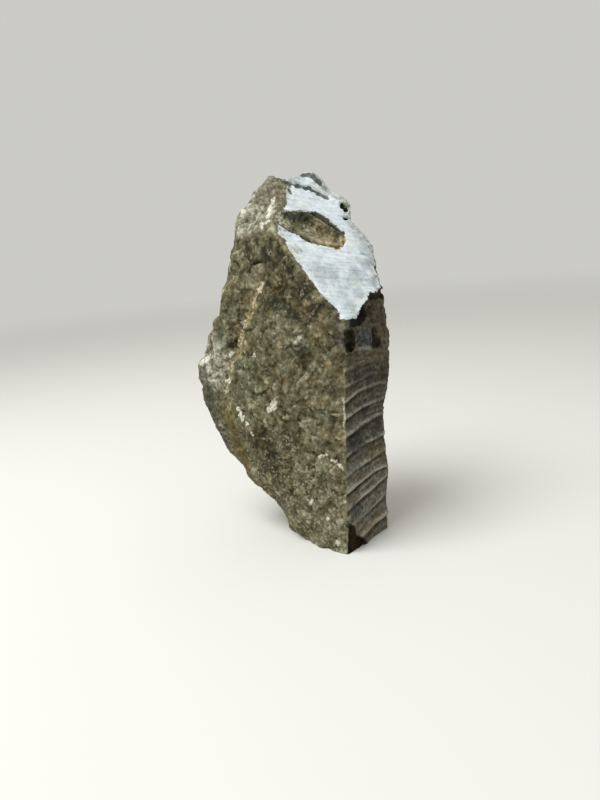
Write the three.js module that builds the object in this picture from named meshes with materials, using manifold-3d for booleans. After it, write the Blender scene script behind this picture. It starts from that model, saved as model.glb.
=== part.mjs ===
// Soapstone block: one raw piece of stone that stands on a small flat foot. Its right side was sawn flat,
// its top was rasped down to a steep pale slope with a hollow left in it, and the rest is broken rock.
//
// Millimetres, +Z up. The origin is the middle of the foot. +X points out of the sawn side, and +Y runs
// along that side from its front edge to its back edge.
import * as THREE from "three";
import { ConvexGeometry } from "three/addons/geometries/ConvexGeometry.js";
import { ImprovedNoise } from "three/addons/math/ImprovedNoise.js";
import { mergeVertices } from "three/addons/utils/BufferGeometryUtils.js";
import Module from "manifold-3d";

// Where the planes of the block lie.
const SAWN_X = 26; // the sawn side, from the middle of the foot
const FRONT_Y = -20; // the near corner of the foot
const FRONT_TURN = 0.22; // how far the rough front comes forward for each millimetre in from the sawn side
const FRONT_LEAN = 0.1; // how far it leans back for each millimetre up
const BEVEL_FOOT = { back: 12.3, up: 133.5 }; // the lowest corner of the rasped slope, on the sawn side
const BEVEL_RISE = 0.311; // rise of its lower edge for each millimetre back
const BEVEL_STEEP = THREE.MathUtils.degToRad(54); // its steepness, square to the sawn side
const SPARE = 7; // how far the broken rock reached past each face that was cut flat
const SAWN_OFF = 15; // and past the sawn side

// Broken rock: how far its lumps, knobs and creases stand in or out.
const MIDDLE = new THREE.Vector3(-20, 4, 104); // every side can be seen from here
const REACH = new THREE.Vector3(46, 40, 104); // about how far the sides lie from there
const ROCK_DETAIL = 21; // how many times each edge of the ball it grows from is divided
const LUMP = { size: 30, height: 2.4 };
const KNOB = { size: 11, height: 2 };
const CREASE = { size: 21, height: 2.6 };
const CALM_EDGE = 14; // the rough front flattens out this near to the sawn side
const CALM_SHARE = 0.2;

// The sawn side: the height of each line that the saw left, at its front edge, middle and back edge.
const SAW_LINES = [
  [-6, -4, -2],
  [6, 8, 12],
  [16, 20, 24],
  [29, 34, 36],
  [37, 41, 40],
  [46, 50, 51],
  [57, 61, 61],
  [67, 73, 74],
  [78, 83, 82],
  [85, 91, 90],
  [95, 99, 98],
  [104, 108, 107],
  [112, 116, 115],
];
const SAW_SCALLOP = 0.9; // how deep the face is between two lines
const SAWN_WIDTH = 50;

// The bodies that break pieces out are this rough, and have edges no longer than this.
const TOOL_EDGE = 4.5;
const TOOL_ROUGH = 0.9;

const STONE = new THREE.MeshStandardMaterial({ color: 0x756d58, roughness: 0.85, metalness: 0 });

// ---- Laying out points -------------------------------------------------------------------------

// A point measured from the near corner of the foot: in from the sawn side, back, and up.
const at = (inward, back, up) => new THREE.Vector3(SAWN_X - inward, FRONT_Y + back, up);

// A point on the rough front, standing proud of its plane by a few millimetres where asked.
const onFront = (inward, up, proud = 0) => at(inward, FRONT_LEAN * up - FRONT_TURN * inward - proud, up);

// The rasped slope has directions of its own: along its lower edge, and up the slope.
const bevelStart = at(0, BEVEL_FOOT.back, BEVEL_FOOT.up);
const bevelAlong = new THREE.Vector3(0, 1, BEVEL_RISE).normalize();
const bevelInward = new THREE.Vector3(-Math.cos(BEVEL_STEEP), 0, Math.sin(BEVEL_STEEP));
const bevelNormal = bevelAlong.clone().cross(bevelInward).normalize();
const bevelUp = bevelNormal.clone().cross(bevelAlong).normalize();

const onBevel = (along, up, proud = 0) =>
  bevelStart
    .clone()
    .addScaledVector(bevelAlong, along)
    .addScaledVector(bevelUp, up)
    .addScaledVector(bevelNormal, proud);

// ---- The corners of the broken block, before it was cut -------------------------------------------

const belowFoot = [
  at(-SAWN_OFF, 38, -SPARE),
  at(28, 45, -SPARE),
  at(64, 40, -SPARE),
  at(47, 10, -SPARE),
  at(19, 0, -SPARE),
];
const pastSawnSide = [
  onFront(-SAWN_OFF, -SPARE),
  at(-SAWN_OFF, 46, 86),
  at(-SAWN_OFF, 52, 104),
  at(-SAWN_OFF, 52, 118),
  at(-SAWN_OFF, 41, 130),
];
const bevelOutline = [
  onBevel(-2, -21, 2),
  onBevel(0.5, 24, 2),
  onBevel(4.5, 46, 2),
  onBevel(8, 58, 2),
  onBevel(12.5, 67, 2),
  onBevel(38, 84, 2),
  onBevel(46, 87, 2),
  onBevel(57, 87.5, 2),
  onBevel(63, 85, 2),
  onBevel(68, 75, 2),
  onBevel(70, 62, 2),
  onBevel(64, 49, 2),
  onBevel(60, 32, 2),
  onBevel(48, 13, 2),
  onBevel(22, -21, 2),
];
const aboveBevel = [onBevel(25, 20, 8), onBevel(32, 50, 9), onBevel(52, 70, 6)];
const front = [
  onFront(30, 46),
  onFront(72, 74),
  onFront(79, 90),
  onFront(70, 162),
  onFront(67, 185),
];
const leftEnd = [
  at(79, 2, 146),
  at(98, -5, 120.5),
  at(106.5, -8.5, 108),
  at(103, -8, 84),
  at(92, -0.5, 48),
  at(78, 6, 27),
];
const crown = [at(69, 14, 198), at(66, 20, 207), at(61, 27, 214)];
const back = [
  at(17, 63, 168),
  at(62, 62, 203),
  at(82, 44, 188),
  at(95, 38, 150),
  at(100, 24, 108),
  at(86, 36, 52),
  at(50, 60, 110),
];
const corners = [belowFoot, pastSawnSide, bevelOutline, aboveBevel, front, leftEnd, crown, back].flat();

// Where a large flake came away, the rock follows a ball that is sunk into the block by a few millimetres.
const SCARS = [
  { middle: at(81, -1, 154), out: [-0.85, -0.5, 0.2], radius: 45, sunk: 3 },
  { middle: at(0, 46, 62), out: [0.25, 1, 0], radius: 150, sunk: 3 },
  { middle: at(66, 7, 17), out: [-0.6, -0.5, -0.6], radius: 26, sunk: 3.5 },
  { middle: at(40, 62, 128), out: [-0.1, 1, 0], radius: 60, sunk: 5 },
  { middle: at(92, 42, 160), out: [-0.8, 0.6, 0.2], radius: 45, sunk: 4 },
  { middle: at(74, 44, 70), out: [-0.4, 0.8, -0.4], radius: 50, sunk: 4.5 },
].map(({ middle, out, radius, sunk }) => {
  const direction = new THREE.Vector3(...out).normalize();
  return { centre: middle.clone().addScaledVector(direction, radius - sunk), radius };
});

// ---- Meshes as lists of points and faces ---------------------------------------------------------

// Points that coincide are made one.
function welded(geometry) {
  const bare = new THREE.BufferGeometry().setAttribute("position", geometry.getAttribute("position"));
  const joined = mergeVertices(bare.setIndex(geometry.index), 1e-3);
  const place = joined.getAttribute("position");
  const point = (_, i) => new THREE.Vector3().fromBufferAttribute(place, i);
  const corner = (i) => joined.index.getX(i);
  const face = (_, i) => [3 * i, 3 * i + 1, 3 * i + 2].map(corner);
  return {
    points: Array.from({ length: place.count }, point),
    faces: Array.from({ length: joined.index.count / 3 }, face),
  };
}

// Halves every edge that is longer than the limit, the longest of each face first, so that neighbours
// always share the same halves.
function refined({ points, faces }, limit) {
  const middles = new Map();
  const middleOf = (a, b) => {
    const key = a < b ? `${a},${b}` : `${b},${a}`;
    if (!middles.has(key)) {
      middles.set(key, points.length);
      points.push(points[a].clone().add(points[b]).multiplyScalar(0.5));
    }
    return middles.get(key);
  };
  const done = [];
  const todo = [...faces];
  while (todo.length) {
    const face = todo.pop();
    const lengths = face.map((a, k) => points[a].distanceTo(points[face[(k + 1) % 3]]));
    const longest = lengths.indexOf(Math.max(...lengths));
    if (lengths[longest] <= limit) {
      done.push(face);
      continue;
    }
    const [a, b, c] = [0, 1, 2].map((k) => face[(longest + k) % 3]);
    const m = middleOf(a, b);
    todo.push([a, m, c], [m, b, c]);
  }
  return { points, faces: done };
}

// Every point moved to where move(point, normal) says.
function reshaped({ points, faces }, move) {
  const normals = points.map(() => new THREE.Vector3());
  for (const [a, b, c] of faces) {
    const ab = points[b].clone().sub(points[a]);
    const normal = ab.cross(points[c].clone().sub(points[a]));
    [a, b, c].forEach((i) => normals[i].add(normal));
  }
  return { points: points.map((p, i) => move(p, normals[i].normalize())), faces };
}

function geometryOf({ points, faces }) {
  const numbers = points.flatMap((p) => p.toArray());
  const geometry = new THREE.BufferGeometry();
  geometry.setAttribute("position", new THREE.Float32BufferAttribute(numbers, 3));
  geometry.setIndex(faces.flat());
  geometry.computeVertexNormals();
  return geometry;
}

// ---- Broken rock -----------------------------------------------------------------------------------

const noise = new ImprovedNoise();
const noiseAt = (p, size) => noise.noise(p.x / size, p.y / size, p.z / size);

function roughness(p) {
  const turned = p.clone().applyAxisAngle(THREE.Object3D.DEFAULT_UP, 0.6);
  return (
    LUMP.height * noiseAt(p, LUMP.size) +
    KNOB.height * noiseAt(p, KNOB.size) +
    CREASE.height * (0.2 - Math.abs(noiseAt(turned, CREASE.size)))
  );
}

function scarred(p) {
  const moved = p.clone();
  for (const { centre, radius } of SCARS) {
    const away = moved.clone().sub(centre);
    if (away.length() < radius) moved.copy(centre).add(away.setLength(radius));
  }
  return moved;
}

// A ball stretched over the corners of the block: each of its points goes out to the sides of their hull.
function bluntBlock() {
  const { points, faces } = welded(new ConvexGeometry(corners));
  const sides = faces.map((face) => new THREE.Plane().setFromCoplanarPoints(...face.map((i) => points[i])));
  const ball = welded(new THREE.IcosahedronGeometry(1, ROCK_DETAIL));
  const block = reshaped(ball, (p) => {
    const ray = p.clone().multiply(REACH);
    const shares = sides.map(({ normal, constant }) => -(normal.dot(MIDDLE) + constant) / normal.dot(ray));
    return ray.multiplyScalar(Math.min(...shares.filter((share) => share > 0))).add(MIDDLE);
  });
  for (const corner of corners) {
    const gaps = block.points.map((p) => p.distanceTo(corner));
    const nearest = gaps.indexOf(Math.min(...gaps));
    if (gaps[nearest] < 3) block.points[nearest].copy(corner);
  }
  return block;
}

// The rough front lies flat on its plane where it meets the sawn side, and is calmer there.
const brokenRock = () =>
  reshaped(bluntBlock(), (p, normal) => {
    const away = THREE.MathUtils.smoothstep(SAWN_X - p.x, 0, CALM_EDGE);
    const moved = scarred(p);
    if (normal.y < -0.6) moved.y = THREE.MathUtils.lerp(onFront(SAWN_X - p.x, p.z).y, moved.y, away);
    return moved.addScaledVector(normal, roughness(p) * THREE.MathUtils.lerp(CALM_SHARE, 1, away));
  });

// ---- The bodies that cut it -------------------------------------------------------------------------

// A slab that lies on a plane, on the side that its normal points to.
function slabOn(point, normal, size = 400, thickness = 60) {
  const slab = new THREE.BoxGeometry(size, size, thickness).translate(0, 0, thickness / 2);
  const turn = new THREE.Quaternion().setFromUnitVectors(new THREE.Vector3(0, 0, 1), normal);
  return welded(slab.applyQuaternion(turn).translate(...point.toArray()));
}

// What the saw took off: its face bulges in between the lines of its strokes.
function sawCut() {
  const rowsPerLine = 4;
  const columns = 8;
  const far = 30;
  const width = 90;
  const rows = (SAW_LINES.length - 1) * rowsPerLine;
  const slab = new THREE.BoxGeometry(far, width, rows, 1, columns, rows);
  slab.translate(SAWN_X + far / 2, 25, rows / 2);
  return reshaped(welded(slab), (p) => {
    const u = THREE.MathUtils.clamp((p.y - FRONT_Y) / SAWN_WIDTH, 0, 1);
    const shares = [(1 - u) * (1 - 2 * u), 4 * u * (1 - u), u * (2 * u - 1)];
    const heights = SAW_LINES.map((line) => line[0] * shares[0] + line[1] * shares[1] + line[2] * shares[2]);
    const below = Math.min(Math.floor(p.z / rowsPerLine), SAW_LINES.length - 2);
    const share = p.z / rowsPerLine - below;
    const inward = p.x > SAWN_X + 1 ? 0 : SAW_SCALLOP * Math.sin(Math.PI * share);
    const up = THREE.MathUtils.lerp(heights[below], heights[below + 1], share);
    return new THREE.Vector3(p.x - inward, p.y, up);
  });
}

// The hull of a few points, roughened like broken rock.
function roughTool(toolCorners) {
  const tool = refined(welded(new ConvexGeometry(toolCorners)), TOOL_EDGE);
  return reshaped(tool, (p, normal) => p.clone().addScaledVector(normal, TOOL_ROUGH * noiseAt(p, 4)));
}

// The hollow in the rasped slope.
const hollow = () =>
  roughTool([
    onBevel(22, 70.5, 1.5),
    onBevel(40, 65, 1.5),
    onBevel(50, 41, 1.5),
    onBevel(41, 33, 1.5),
    onBevel(32, 36, 1.5),
    onBevel(17, 61, 1.5),
    onBevel(26, 65, -3.5),
    onBevel(36, 61, -5),
    onBevel(44, 43, -4.5),
    onBevel(40, 38, -2.5),
    onBevel(28, 52, -3),
  ]);

// A narrow groove across the top of the slope, and a pit near its right edge.
const groove = () =>
  roughTool([
    onBevel(42, 89, 2),
    onBevel(44, 84, 2),
    onBevel(58, 67, 2),
    onBevel(61.5, 65, 2),
    onBevel(59.5, 70, 2),
    onBevel(50, 80, -2.5),
    onBevel(56, 73, -2),
  ]);
const pit = () =>
  roughTool([
    onBevel(59, 58, 2),
    onBevel(63, 60, 2),
    onBevel(67, 57, 2),
    onBevel(65, 52, 2),
    onBevel(60, 53, 2),
    onBevel(63, 57, -5),
  ]);

// Under the lower edge of the slope the side was never sawn: broken rock, sunk a little.
const underBevel = () =>
  roughTool([
    at(-3, 15, 132),
    at(-3, 22, 134),
    at(-3, 34, 141),
    at(-3, 60, 148),
    at(-3, 60, 126),
    at(-3, 14, 127),
    at(2, 22, 133.5),
    at(6, 33, 139.5),
    at(6, 60, 145),
    at(0, 60, 127),
    at(0, 17, 128),
  ]);

// Two pockets broken into the sawn side under its top edge: the front one runs out through the corner.
const frontPocket = () =>
  roughTool([
    at(-3, 5, 129),
    at(-3, 23, 127.5),
    at(-3, 22, 114),
    at(-3, 5, 116),
    at(0.5, 8, 128),
    at(0.5, 8, 117),
    at(5, 20, 125.5),
    at(5, 19, 117),
    at(3.6, 14, 127),
    at(3.6, 14, 117),
  ]);
const backPocket = () =>
  roughTool([
    at(-3, 35, 127),
    at(-3, 48, 126),
    at(-3, 47, 113),
    at(-3, 36, 113),
    at(4, 37.5, 124),
    at(4.5, 45, 123),
    at(4, 44, 116),
    at(4, 38, 116),
  ]);

// The near corner of the foot has a thin wedge of its sawn face missing.
const footChip = () =>
  roughTool([
    at(-3, -8, 26),
    at(-3, 20, -3),
    at(-3, -8, -3),
    at(0.6, -8, 26),
    at(0.6, 17, -3),
    at(2.8, 3, 15),
    at(2.8, 12, 0),
    at(0.8, -8, -3),
  ]);

// ---- The block ----------------------------------------------------------------------------------------

const wasm = await Module();
wasm.setup();

function solidOf({ points, faces }) {
  const vertProperties = new Float32Array(points.flatMap((p) => p.toArray()));
  const triVerts = new Uint32Array(faces.flat());
  return new wasm.Manifold(new wasm.Mesh({ numProp: 3, vertProperties, triVerts }));
}

function meshOf(solid) {
  const { numProp, numVert, vertProperties, triVerts } = solid.getMesh();
  const point = (_, i) => new THREE.Vector3(...vertProperties.subarray(i * numProp, i * numProp + 3));
  return {
    points: Array.from({ length: numVert }, point),
    faces: Array.from({ length: triVerts.length / 3 }, (_, i) => [...triVerts.subarray(3 * i, 3 * i + 3)]),
  };
}

const cuts = [
  slabOn(at(0, 0, 0), new THREE.Vector3(0, 0, -1)),
  slabOn(at(0, 0, 0), new THREE.Vector3(1, 0, 0)),
  slabOn(bevelStart, bevelNormal),
  sawCut(),
  hollow(),
  groove(),
  pit(),
  underBevel(),
  frontPocket(),
  backPocket(),
  footChip(),
];
const block = cuts.reduce((solid, cut) => solid.subtract(solidOf(cut)), solidOf(brokenRock()));

const mesh = new THREE.Mesh(geometryOf(meshOf(block)), STONE);
mesh.name = "soapstone_block";
const group = new THREE.Group();
group.add(mesh);
export default group;
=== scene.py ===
import bpy
import numpy as np
from mathutils import Matrix, Vector


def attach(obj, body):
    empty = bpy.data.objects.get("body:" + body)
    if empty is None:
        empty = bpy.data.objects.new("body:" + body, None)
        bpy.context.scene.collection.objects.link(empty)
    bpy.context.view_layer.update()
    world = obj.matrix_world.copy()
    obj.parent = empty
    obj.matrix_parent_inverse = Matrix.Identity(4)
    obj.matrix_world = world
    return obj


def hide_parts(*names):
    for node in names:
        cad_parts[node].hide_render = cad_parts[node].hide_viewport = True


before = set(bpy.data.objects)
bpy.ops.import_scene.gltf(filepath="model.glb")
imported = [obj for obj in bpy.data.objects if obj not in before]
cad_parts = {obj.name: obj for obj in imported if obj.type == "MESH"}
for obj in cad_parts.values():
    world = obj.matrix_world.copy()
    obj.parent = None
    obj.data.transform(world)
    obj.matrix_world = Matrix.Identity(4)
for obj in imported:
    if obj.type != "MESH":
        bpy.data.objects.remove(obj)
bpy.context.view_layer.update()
scene = bpy.context.scene

MM_PER_METRE = 1000
VOXEL = 0.9  # mm, size of the finest faces


# ---- Directions on the stone, in millimetres ----

# Three pairs of coordinates give the places on the stone. The front has (in from the sawn side, up), the
# sawn side has (back from the near corner, up) and the slope has (along its lower edge, up it).
SAWN_X, FRONT_Y = 26.0, -20.0
SLOPE_START = np.array([26.0, -7.7, 133.5])
EDGE_RISE = 0.311  # of the slope's lower edge, for each millimetre back
SLOPE_ALONG = np.array([0.0, 1.0, EDGE_RISE]) / np.hypot(1.0, EDGE_RISE)
STEEPNESS = np.radians(54)
UP_AND_LEFT = np.array([-np.cos(STEEPNESS), 0.0, np.sin(STEEPNESS)])
SLOPE_OUT = np.cross(SLOPE_ALONG, UP_AND_LEFT)
SLOPE_OUT /= np.linalg.norm(SLOPE_OUT)
SLOPE_UP = np.cross(SLOPE_OUT, SLOPE_ALONG)
TO_RIGHT = np.array([0.746, 0.666, 0.0])  # as the camera sees the stone
TO_LEFT_FRONT = np.array([-0.35, -0.94, 0.0])


# ---- Noise, on arrays of points ----

CELL_PRIMES = (73856093, 19349663, 83492791)
SEED_PRIME, MIXER, ALL_BITS = 40503, 0x45D9F3B, 0xFFFFFFFF
SEED_SHIFT = 17.3  # cells
CHIP_BORDER = 0.16  # of a chip's size


def cell_value(i, j, k, seed):
    """A repeatable number from 0 to 1 for each cell of space."""
    h = seed * SEED_PRIME
    for cell, prime in zip((i, j, k), CELL_PRIMES):
        h = h ^ (cell.astype(np.int64) * prime)
    h = h & ALL_BITS
    for _ in range(2):
        h = (((h >> 16) ^ h) * MIXER) & ALL_BITS
    h = (h >> 16) ^ h
    return h / ALL_BITS


def smooth(x, low, high):
    """A smooth step from 0 at one value to 1 at the other. The first may be the greater one."""
    t = np.clip((x - low) / (high - low), 0, 1)
    return t * t * (3 - 2 * t)


def noise(p, size, seed=0):
    """Smooth noise from about -1 to 1, with lumps of about that size in millimetres."""
    q = p / size + SEED_SHIFT * seed
    base = np.floor(q)
    f = q - base
    u = f * f * f * (f * (f * 6 - 15) + 10)
    total = np.zeros(len(p))
    for a in (0, 1):
        for b in (0, 1):
            for c in (0, 1):
                i, j, k = base[:, 0] + a, base[:, 1] + b, base[:, 2] + c
                g = [2 * cell_value(i, j, k, seed * 3 + n) - 1 for n in range(3)]
                dot = g[0] * (f[:, 0] - a) + g[1] * (f[:, 1] - b) + g[2] * (f[:, 2] - c)
                weight = (u[:, 0] if a else 1 - u[:, 0]) * (u[:, 1] if b else 1 - u[:, 1])
                total += dot * weight * (u[:, 2] if c else 1 - u[:, 2])
    return 1.6 * total


def layered(p, size, seed=0, layers=3, keep=0.5):
    """Noise at a size, its half and so on, each layer weaker than the one before."""
    total = np.zeros(len(p))
    for n in range(layers):
        total += keep**n * noise(p, size / 2**n, seed + 11 * n)
    return total


def creased(p, size, seed=0):
    """Rounded lumps with sharp creases between them, from about -1 to 0.5."""
    return 0.5 - 1.5 * np.abs(noise(p, size, seed))


def chips(p, size, seed=0):
    """Flat chips, each tilted its own way: height from about -1 to 1, and how near a border is."""
    q = p / size
    q = q + 0.3 * np.stack([noise(p, 1.3 * size, seed + n) for n in (5, 6, 7)], axis=1)
    base = np.floor(q)
    first = np.full(len(p), 9.0)
    second = np.full(len(p), 9.0)
    height = np.zeros(len(p))
    for a in (-1, 0, 1):
        for b in (-1, 0, 1):
            for c in (-1, 0, 1):
                corner = (base[:, 0] + a, base[:, 1] + b, base[:, 2] + c)
                off = [corner[n] + cell_value(*corner, seed + n) - q[:, n] for n in range(3)]
                tilt = [2 * cell_value(*corner, seed + 11 + n) - 1 for n in range(3)]
                d = np.sqrt(off[0] ** 2 + off[1] ** 2 + off[2] ** 2)
                closer = d < first
                second = np.where(closer, first, np.minimum(second, d))
                first = np.where(closer, d, first)
                flat = off[0] * tilt[0] + off[1] * tilt[1] + off[2] * tilt[2] + 0.5 * tilt[0]
                height = np.where(closer, flat, height)
    return height, 1 - smooth(second - first, 0, CHIP_BORDER)


# ---- Distances on a flat drawing ----


def from_line(points, line):
    """Distance of 2-D points from an open line."""
    best = np.full(len(points), 1e9)
    for a, b in zip(line[:-1], line[1:]):
        a, b = np.array(a, float), np.array(b, float)
        t = np.clip((points - a) @ (b - a) / ((b - a) @ (b - a)), 0, 1)
        best = np.minimum(best, np.linalg.norm(points - (a + t[:, None] * (b - a)), axis=1))
    return best


def inside(points, outline):
    """Distance into a closed 2-D outline, negative outside it."""
    loop = list(outline) + [outline[0]]
    within = np.zeros(len(points), bool)
    x, y = points[:, 0], points[:, 1]
    for (x0, y0), (x1, y1) in zip(loop[:-1], loop[1:]):
        if y0 == y1:
            continue
        crosses = ((y0 > y) != (y1 > y)) & (x < (x1 - x0) * (y - y0) / (y1 - y0) + x0)
        within ^= crosses
    return np.where(within, 1, -1) * from_line(points, loop)


def in_spots(points, spots):
    """Distance into the nearest of some round spots, negative outside them."""
    depth = np.full(len(points), -99.0)
    for middle, radius in spots:
        depth = np.maximum(depth, radius - np.linalg.norm(points - np.array(middle), axis=1))
    return depth


def held(depth, reach=9):
    """A depth that goes no further than its reach either way."""
    return np.clip(depth, -reach, reach)


def held_on(part, depth, reach=9):
    """The same on one part of the stone, and the reach below zero off that part."""
    return held(depth, reach) * part - reach * (1 - part)


# ---- Meshes ----


def remeshed(source, name, voxel):
    """A fine even copy of a mesh object, as an object of its own. Sizes in metres."""
    rough = bpy.data.objects.new("remesh source", source.data.copy())
    bpy.context.collection.objects.link(rough)
    fine = rough.modifiers.new("fine", "REMESH")
    fine.mode = "VOXEL"
    fine.voxel_size = voxel
    fine.adaptivity = 0
    graph = bpy.context.evaluated_depsgraph_get()
    mesh = bpy.data.meshes.new_from_object(rough.evaluated_get(graph), depsgraph=graph)
    bpy.data.objects.remove(rough)
    mesh.name = name
    mesh.materials.clear()
    made = bpy.data.objects.new(name, mesh)
    bpy.context.collection.objects.link(made)
    return made


def coordinates(mesh):
    """The mesh's points in millimetres."""
    flat = np.empty(3 * len(mesh.vertices))
    mesh.vertices.foreach_get("co", flat)
    return MM_PER_METRE * flat.reshape(-1, 3)


def set_coordinates(mesh, points):
    """Moves the mesh's points to places in millimetres."""
    mesh.vertices.foreach_set("co", (points / MM_PER_METRE).ravel())
    mesh.update()


def normals_of(mesh):
    flat = np.empty(3 * len(mesh.vertices), np.float32)
    mesh.vertex_normals.foreach_get("vector", flat)
    return flat.reshape(-1, 3).astype(float)


def edges_of(mesh):
    flat = np.empty(2 * len(mesh.edges), np.int32)
    mesh.edges.foreach_get("vertices", flat)
    return flat.reshape(-1, 2)


def relaxed(points, edges, amount, rounds):
    """Each point drawn towards the mean of its neighbours, by its own amount from 0 to 1."""
    count = np.bincount(edges.ravel(), minlength=len(points))[:, None]
    for _ in range(rounds):
        mean = np.stack(
            [
                np.bincount(edges[:, 0], points[edges[:, 1], n], len(points))
                + np.bincount(edges[:, 1], points[edges[:, 0], n], len(points))
                for n in range(3)
            ],
            axis=1,
        )
        points = points + amount[:, None] * (mean / count - points)
    return points


def attribute(mesh, name, values):
    """A value for each of the mesh's points, which the material can read."""
    layer = mesh.attributes.new(name, "FLOAT", "POINT")
    layer.data.foreach_set("value", np.ascontiguousarray(values, np.float32))


# ---- Places on the slope: (along, up) ----

SLOPE_OUTLINE = [
    (7.2, -3), (0, -1), (-1.8, 2.5), (0.4, 12.2), (0.6, 18.7), (0.9, 24.5), (2.1, 32), (3.9, 39.2),
    (4.7, 44.8), (5.5, 50.4), (8.1, 55.2), (7.8, 61.4), (12, 65), (15.9, 68), (22.5, 69.5), (30, 74),
    (38.2, 82), (43, 88), (47, 92), (62, 92), (70, 88), (74, 70), (76, 58), (70, 44), (68, 20), (52, 1),
    (43, -1), (38, 1.4), (33, 2.6), (28.1, 4.0), (25.4, 2.6), (22.6, 0.2), (20.5, -3), (14.4, -3),
]
HOLLOW_OUTLINE = [
    (21, 69.8), (32, 67), (39.9, 63), (44.5, 52), (48.1, 39.8), (40.6, 34.6), (33.7, 36), (29, 45),
    (21.3, 55), (18.6, 61.4),
]
HOLLOW_RIM = [
    (22.6, 70.3), (27.8, 68.4), (40.4, 63), (45.9, 57.9), (48.2, 50.4), (49.3, 40.9), (44.1, 36.1),
    (35.9, 34), (27.2, 42), (19, 49.5), (19.4, 58.2), (20, 64.5),
]
BESIDE_HOLLOW = [
    (10, 69.5), (14.2, 67.2), (15.2, 61.5), (17.8, 56.4), (20.7, 54.6), (22, 57), (21, 65), (25, 71),
    (16, 72),
]
HOLLOW_TOP_SHADE = [(21, 69.5), (28, 67.6), (40, 62), (45, 57.5), (47.5, 50), (48.5, 42)]
HOLLOW_LOW_SHADE = [(19.5, 60), (20.5, 53), (26, 45.5)]
GROOVE = [(38, 89), (43.2, 85.1), (46.6, 81.2), (50.8, 77.1), (55.6, 72.6), (57.1, 69.4), (60.7, 64.6)]
CROWN_STREAK = [(57, 84), (59.4, 81.2), (62.1, 77.6), (64.2, 74.4)]
CRACKS = [
    [(12.5, 68), (13.5, 65.4), (15.6, 61.7), (15.9, 59), (18.5, 55.5)],
    [(43.2, 87.3), (42.2, 83.4), (38.6, 79.6)],
]
SLOPE_PIT = [(61, 53), (61.6, 57.6), (63.8, 59.5), (66.2, 58), (65.6, 55), (63.6, 52)]

# Round spots are given by their middle and radius.
SLOPE_HOLE = [((59.2, 48.6), 1.5), ((60.6, 47.4), 0.9)]
HOLLOW_SPOTS = [((34.5, 62.6), 3.4), ((27, 60), 2), ((45.5, 44), 2)]
WORN_SPOTS = [
    ((68, 57), 5.5), ((68, 62), 4), ((65, 48), 5), ((62, 40), 4.5), ((61, 32), 4.5), ((58, 24), 4),
    ((55, 16), 4), ((49, 8), 4), ((39, 2), 2), ((50, 89), 5), ((61, 86), 5), ((67, 78), 5), ((66, 69), 4.5),
    ((12, 62), 2.5), ((9, 47), 2), ((36, 80), 3),
]
GREY_PATCHES = [
    ((11.5, 28.5), 6.5), ((17, 24), 6.5), ((21, 15), 4), ((32, 17), 6), ((44, 18), 6), ((53, 24), 6),
    ((57, 34), 5), ((36, 9), 4), ((12, 12), 3), ((60, 42), 4), ((47, 88), 6), ((56, 88), 5), ((64, 80), 5),
    ((66, 72), 5), ((10, 5), 3), ((22, 8), 4),
]


# ---- Places on the rough front: (inward, up) ----

VEIN = [
    (50, 156), (54.5, 151), (56.5, 146.5), (57.5, 142.5), (64, 133.5), (66.5, 126.5), (69, 119.5),
    (70.3, 113.5),
]
VEIN_BELOW = [(74, 112), (77.5, 108), (78.2, 98.5), (80.5, 89.5), (80.5, 81)]
BROWN_BAND = [(81, 84), (79.5, 74), (80, 62), (79, 50), (75, 38), (67, 27)]
# Painted shade along the front's lower left edge.
SHADED_LEFT_EDGE = [(101, 104), (99.5, 96), (97.5, 84), (95.5, 70), (94, 56), (90, 45), (82, 33)]
CLEFT = [(30, 119.5), (27, 116.5), (23, 114), (20, 112.5)]
LEFT_TIP, LEFT_TIP_RADIUS, LEFT_TIP_SQUEEZE = (92, 108), 13, 0.75
BEIGE_BOTTOM, BEIGE_START, BEIGE_BACK = 186, 45, 30
BROWN_TOP_BOTTOM, BROWN_TOP_END = 199, 62
HOLES = [((72.6, 121.6), 1.5), ((72.3, 119.8), 1.3)]
DARK_PATCHES = [
    ((52, 57), 10), ((46, 46), 8), ((58, 63), 8), ((41, 171), 9), ((56, 170), 7), ((36, 150), 8),
    ((44, 146), 8), ((28, 140), 7), ((75.5, 122), 2.8), ((47.5, 190), 3), ((16, 141), 5), ((22, 153), 7),
    ((29, 166), 8), ((36, 177), 6), ((56, 66), 8), ((50, 52), 8), ((70, 196), 3), ((66, 204), 3),
    ((25, 114), 5),
]
GREEN_PATCHES = [
    ((26, 123), 6), ((64, 108), 8), ((63, 92), 7), ((84, 122), 8), ((72, 140), 6), ((60, 78), 6),
]
FLECKS = [
    ((46.3, 84.6), 2.4), ((48.6, 82.6), 2.0), ((45.2, 87), 1.5), ((72.0, 81), 1.6), ((70.2, 78.4), 1.9),
    ((68.6, 75.6), 1.7), ((65.0, 73.0), 1.1), ((56.5, 114.5), 1.1), ((74.7, 114.7), 1.8),
    ((78.6, 98.2), 1.7), ((102, 108.6), 2.2), ((98.6, 110.4), 2.4), ((13, 19.9), 1.3), ((26.6, 15.4), 1.3),
    ((7.8, 7.3), 1.2), ((22.5, 28.9), 1.4), ((50.5, 155), 1.6), ((52.2, 151.8), 1.4), ((48.8, 199.5), 2.1),
    ((49.4, 196.5), 1.8), ((47.2, 192.8), 2.3), ((24.5, 125), 1.3), ((28, 122), 1.2), ((46.5, 189), 1.7),
    ((50.6, 187), 1.6),
]
# Pale streaks; those close to the sawn side's edge are a painted highlight along that edge.
PALE_STREAKS_AND_EDGE_HIGHLIGHTS = [
    [(1.6, 90), (1.0, 83.4), (1.7, 74.4)],
    [(9.1, 55.8), (5.4, 53.6), (2.6, 50.9)],
    [(4.5, 34.1), (1.4, 31.6)],
    [(17, 57), (12.5, 58.5)],
    [(63, 70), (60.5, 66)],
    [(1.4, 15), (1.1, 8)],
]
STREAK_HALF_WIDTH = 0.65


# ---- Places on the sawn side: (back, up) ----

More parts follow.
